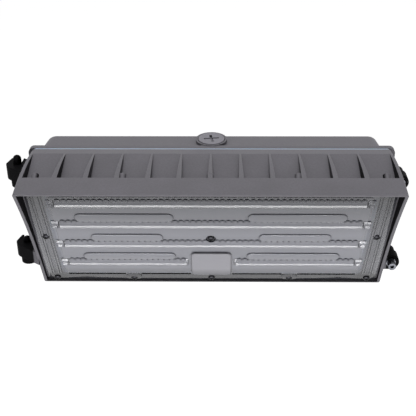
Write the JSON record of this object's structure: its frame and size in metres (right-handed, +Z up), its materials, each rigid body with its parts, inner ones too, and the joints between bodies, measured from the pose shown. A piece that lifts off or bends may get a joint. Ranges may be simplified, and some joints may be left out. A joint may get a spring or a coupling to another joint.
{
  "type": "wall pack light",
  "caption": "Wall-mounted outdoor LED light: ribbed cast door with sloping clear lens, hinged on a shallow back box and held by captive screws.",
  "frame": {"origin": "on the wall plane, in the middle of the supply entry and of the four wall screw holes", "axes": "+X to the viewer's right along the light's width, +Y into the wall, +Z up"},
  "size_m": [0.399, 0.1354, 0.1576],
  "materials": {
    "body_paint": "die-cast, dark bronze-grey powder coat",
    "silicone": "pale blue-grey silicone",
    "foam": "closed-cell foam",
    "black_rubber": "matt",
    "lens_clear": "clear moulded polycarbonate",
    "stainless": "stainless",
    "zinc_steel": "zinc plated",
    "green_screw": "green dyed zinc",
    "board": "white solder mask on an aluminium core",
    "led": "phosphor in a white frame",
    "white_plastic": "nylon",
    "driver_alu": "brushed sheet",
    "black_plastic": "moulded",
    "wire_red": "PVC insulation",
    "wire_black": "PVC insulation",
    "wire_white": "PVC insulation",
    "wire_green": "PVC insulation",
    "nut_orange": "moulded"
  },
  "bodies": {
    "back_box": {"back_box": "body_paint", "conduit_plug": "body_paint", "door_gasket": "silicone", "wall_gasket": "foam", "entry_grommet": "black_rubber", "ground_screw": "green_screw", "hinge_posts": "body_paint"},
    "door": {"board_screws": "zinc_steel", "door_housing": "body_paint", "driver_case": "driver_alu", "driver_end_caps": "black_plastic", "driver_screws": "zinc_steel", "ground_lead": "wire_green", "lead_clip": "black_plastic", "led_board": "board", "led_row_1": "led", "led_row_2": "led", "led_row_3": "led", "led_row_4": "led", "lens": "lens_clear", "lens_edge_screws": "zinc_steel", "lens_gasket": "silicone", "lens_middle_screw": "zinc_steel", "line_lead": "wire_black", "neutral_lead": "wire_white", "output_leads": "wire_red", "plate_grommet": "black_rubber", "wire_connector": "white_plastic", "wire_nut_clip": "black_plastic", "wire_nuts": "nut_orange"},
    "retainer_upper": {"screw_retainer_upper": "white_plastic"},
    "screw_upper": {"captive_screw_upper": "stainless"},
    "retainer_lower": {"screw_retainer_lower": "white_plastic"},
    "screw_lower": {"captive_screw_lower": "stainless"}
  },
  "joints": [
    {"name": "door_swing", "type": "hinge", "parent": "back_box", "child": "door", "pos_m": [-0.192, -0.046, 0], "axis": [0, 0, -1], "range_deg": [0, 110]},
    {"name": "upper_screw_travel", "type": "slide", "parent": "door", "child": "retainer_upper", "axis": [0, -1, 0], "range_m": [0, 0.008]},
    {"name": "upper_screw_turn", "type": "hinge", "parent": "retainer_upper", "child": "screw_upper", "pos_m": [0.187, -0.055, 0.044], "axis": [0, -1, 0], "range_deg": [0, 3600]},
    {"name": "lower_screw_travel", "type": "slide", "parent": "door", "child": "retainer_lower", "axis": [0, -1, 0], "range_m": [0, 0.008]},
    {"name": "lower_screw_turn", "type": "hinge", "parent": "retainer_lower", "child": "screw_lower", "pos_m": [0.187, -0.055, -0.05], "axis": [0, -1, 0], "range_deg": [0, 3600]}
  ],
  "couplings": [
    {"joint": "upper_screw_turn", "follows": "upper_screw_travel", "rad_per_m": 7854},
    {"joint": "lower_screw_turn", "follows": "lower_screw_travel", "rad_per_m": 7854}
  ]
}
